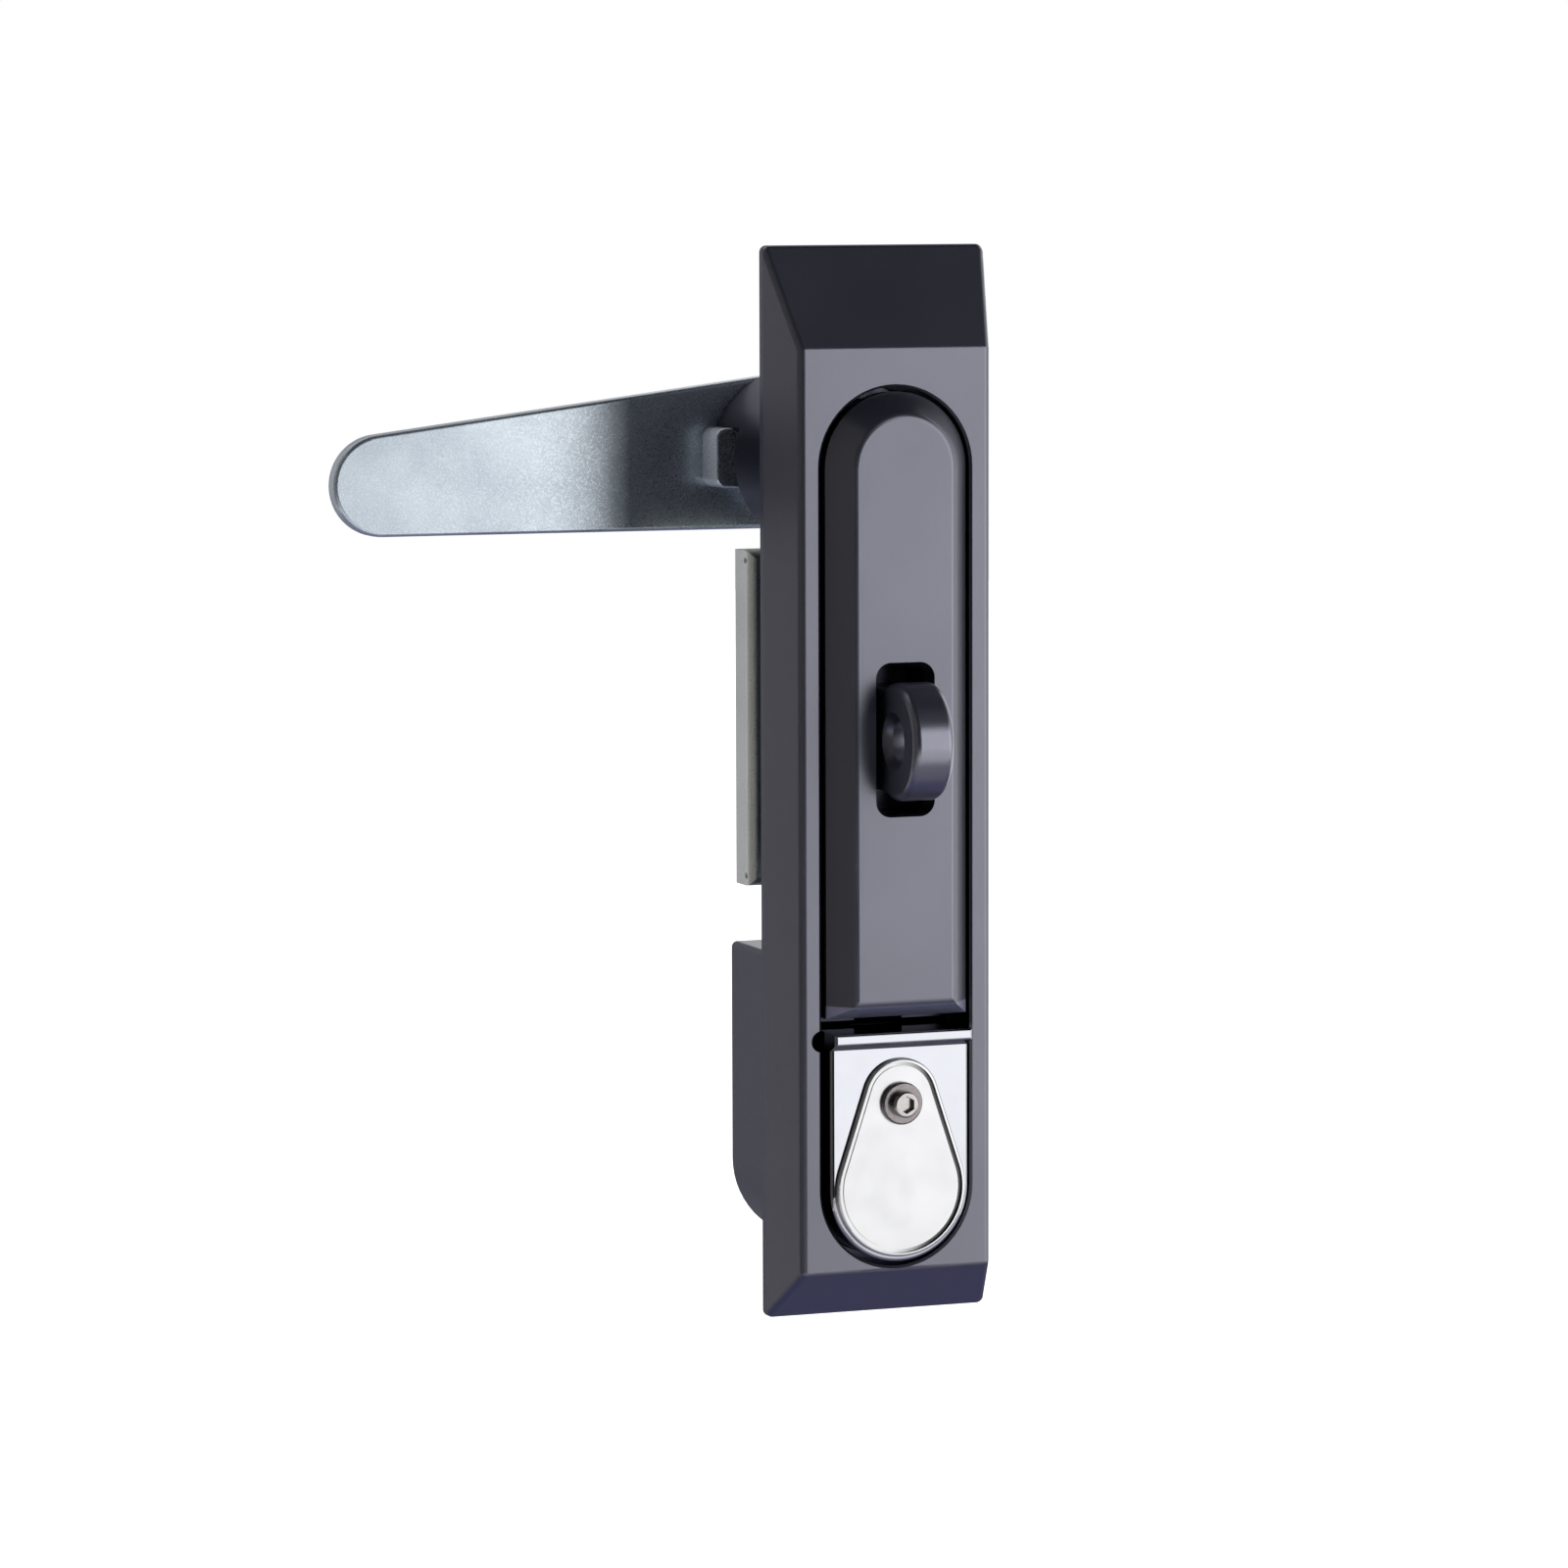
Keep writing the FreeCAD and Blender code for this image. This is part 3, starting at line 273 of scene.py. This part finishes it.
def zincPlating(name):
    zinc = zincPlates[name]
    material, tree = newMaterial(name)
    at = addNode(tree, "ShaderNodeTexCoord").outputs
    fine = {"Vector": at["Object"], "Scale": 1000 / zinc["spangle"], "Detail": 5.0, "Roughness": 0.85}
    spangle = addNode(tree, "ShaderNodeTexNoise", fine)
    wide = {"Vector": at["Object"], "Scale": 1000 / zinc["cloud"], "Detail": 3.0}
    cloud = addNode(tree, "ShaderNodeTexNoise", wide)
    blend = addNode(tree, "ShaderNodeMath", {0: spangle.outputs[0], 1: cloud.outputs[0]}, operation="ADD")
    shade = addNode(tree, "ShaderNodeMapRange", {"Value": blend.outputs[0], "From Min": 0.75, "From Max": 1.25})
    shades = {"Factor": shade.outputs[0], colourA: srgb(zinc["dark"]), colourB: srgb(zinc["light"])}
    colour = addNode(tree, "ShaderNodeMix", shades, data_type="RGBA").outputs[colourOut]
    low, high = zinc["roughness"]
    span = {"From Min": 0.3, "From Max": 0.7, "To Min": high, "To Max": low}
    gloss = addNode(tree, "ShaderNodeMapRange", {"Value": spangle.outputs[0], **span})
    facing = addNode(tree, "ShaderNodeSeparateXYZ", {"Vector": at["Normal"]})
    flat = addNode(tree, "ShaderNodeMath", {0: facing.outputs["Y"]}, operation="ABSOLUTE")
    edge, face = zinc["metal"]
    span = {"From Min": 0.35, "From Max": 0.9, "To Min": edge, "To Max": face}
    metal = addNode(tree, "ShaderNodeMapRange", {"Value": flat.outputs[0], **span})
    grain = {"Height": spangle.outputs[0], "Distance": zinc["grainHeight"] / 1000}
    surface = {
        "Base Color": colour,
        "Metallic": metal.outputs[0],
        "Roughness": gloss.outputs[0],
        "Normal": addNode(tree, "ShaderNodeBump", grain).outputs[0],
    }
    skin = addNode(tree, "ShaderNodeBsdfPrincipled", surface)
    addNode(tree, "ShaderNodeOutputMaterial", {"Surface": skin.outputs[0]})
    return material


bareMetals = {  # colour, roughness low and high, grain in mm, height of the grain in mm
    "brightChrome": ("#95969A", (0.06, 0.10), 2.5, 0.001),  # polished chrome plate: a mirror, hardly uneven
    "satinSteel": ("#C2C2C2", (0.28, 0.34), 4.0, 0.002),  # tumbled stainless sheet: satin, a little cloudy
    "screwSteel": ("#A09C9A", (0.20, 0.28), 0.5, 0.001),  # turned stainless
    "washerSteel": ("#7C7676", (0.24, 0.32), 0.5, 0.001),  # a darker, warmer grey
    "springWire": ("#8F9194", (0.24, 0.32), 0.4, 0.001),  # drawn wire
    "turnedBrass": ("#C9A45C", (0.22, 0.30), 0.35, 0.0015),  # turned brass: fine lines round it
    "gapShadeBlack": ("#1B1B1F", (0.42, 0.55), 0.5, 0.001),  # painted shade: near-black steel for the strike, its screw and the catch bolt, so the gap under the handle reads dark
}
turnedStretch = (1, 0.1, 1)  # lines that run round a turned piece


def bareMetal(name, shadedGroove=None):
    code, (low, high), grain, height = bareMetals[name]
    material, tree = newMaterial(name)
    where = addNode(tree, "ShaderNodeTexCoord").outputs["Object"]
    stretch = turnedStretch if name == "turnedBrass" else (1, 1, 1)
    scale = tuple(s * 1000 / grain for s in stretch)
    placed = addNode(tree, "ShaderNodeMapping", {"Vector": where, "Scale": scale})
    lines = addNode(tree, "ShaderNodeTexNoise", {"Vector": placed.outputs[0], "Scale": 1.0, "Detail": 3.0})
    span = {"From Min": 0.3, "From Max": 0.7, "To Min": low, "To Max": high}
    gloss = addNode(tree, "ShaderNodeMapRange", {"Value": lines.outputs[0], **span})
    bump = addNode(tree, "ShaderNodeBump", {"Height": lines.outputs[0], "Distance": height / 1000})
    colour = srgb(code)
    # painted shade: a dark grey in the groove round the cover's pad
    if shadedGroove:
        groove = {"Factor": insideBox(tree, where, shadedGroove), colourA: colour, colourB: srgb(grooveShade)}
        colour = addNode(tree, "ShaderNodeMix", groove, data_type="RGBA").outputs[colourOut]
    surface = {"Base Color": colour, "Metallic": 1.0, "Roughness": gloss.outputs[0], "Normal": bump.outputs[0]}
    skin = addNode(tree, "ShaderNodeBsdfPrincipled", surface)
    addNode(tree, "ShaderNodeOutputMaterial", {"Surface": skin.outputs[0]})
    return material


sealRubber = {"colour": "#19191B", "roughness": (0.55, 0.75), "grain": 0.6}


def nitrileRubber():
    material, tree = newMaterial("nitrileRubber")  # moulded black rubber: matt, slightly dusty
    where = addNode(tree, "ShaderNodeTexCoord").outputs["Object"]
    grain = {"Vector": where, "Scale": 1000 / sealRubber["grain"], "Detail": 3.0}
    dust = addNode(tree, "ShaderNodeTexNoise", grain)
    low, high = sealRubber["roughness"]
    gloss = addNode(tree, "ShaderNodeMapRange", {"Value": dust.outputs[0], "To Min": low, "To Max": high})
    surface = {"Base Color": srgb(sealRubber["colour"]), "Roughness": gloss.outputs[0]}
    skin = addNode(tree, "ShaderNodeBsdfPrincipled", surface)
    addNode(tree, "ShaderNodeOutputMaterial", {"Surface": skin.outputs[0]})
    return material


platedPieces = (
    "cam", "stop_washers", "cam_flat_washer", "cam_lock_washer", "cam_screw", "spindle_shaft", "spindle_head",
    "handle_pin", "bracket_screws", "eye_screws", "plug_tail", "tail_screw", "button_guide_screws",
)
finishes = [  # each material and the nodes that have it
    # each coat paints shade into the hollows listed after it
    (blackPowderCoat("housingCoat", castPaint["ior"], ("recess", "notch")), ("housing",)),
    (blackPowderCoat("handleCoat", castPaint["ior"], ("slot",)), ("handle",)),
    (blackPowderCoat("eyeCoat", castPaint["eyeIor"], ("slot",)), ("padlock_eye",)),
    # near-black as painted shade in the gap under the handle
    (bareMetal("gapShadeBlack"), ("handle_strike", "strike_screw", "catch_bolt")),
    (zincPlating("pressedZinc"), ("clamp_bracket",)),
    (zincPlating("rolledZinc"), platedPieces),
    (bareMetal("brightChrome"), ("button",)),
    # the dust cover gets painted shade in the groove round its pad
    (bareMetal("satinSteel", coverGroove), ("dust_cover",)),
    (bareMetal("screwSteel"), ("cover_screw",)),
    (bareMetal("washerSteel"), ("cover_washer",)),
    (bareMetal("springWire"), ("lift_spring", "button_springs")),
    (bareMetal("turnedBrass"), ("key_plug", "cylinder_body", "cylinder_nut")),
    (nitrileRubber(), ("spindle_o_ring",)),
]
for material, names in finishes:
    for name in names:
        mesh = nodes[name].data
        mesh.materials.clear()
        mesh.materials.append(material)
unfinished = sorted(set(nodes) - {name for _, names in finishes for name in names})
print("finishes given, left over:", unfinished)
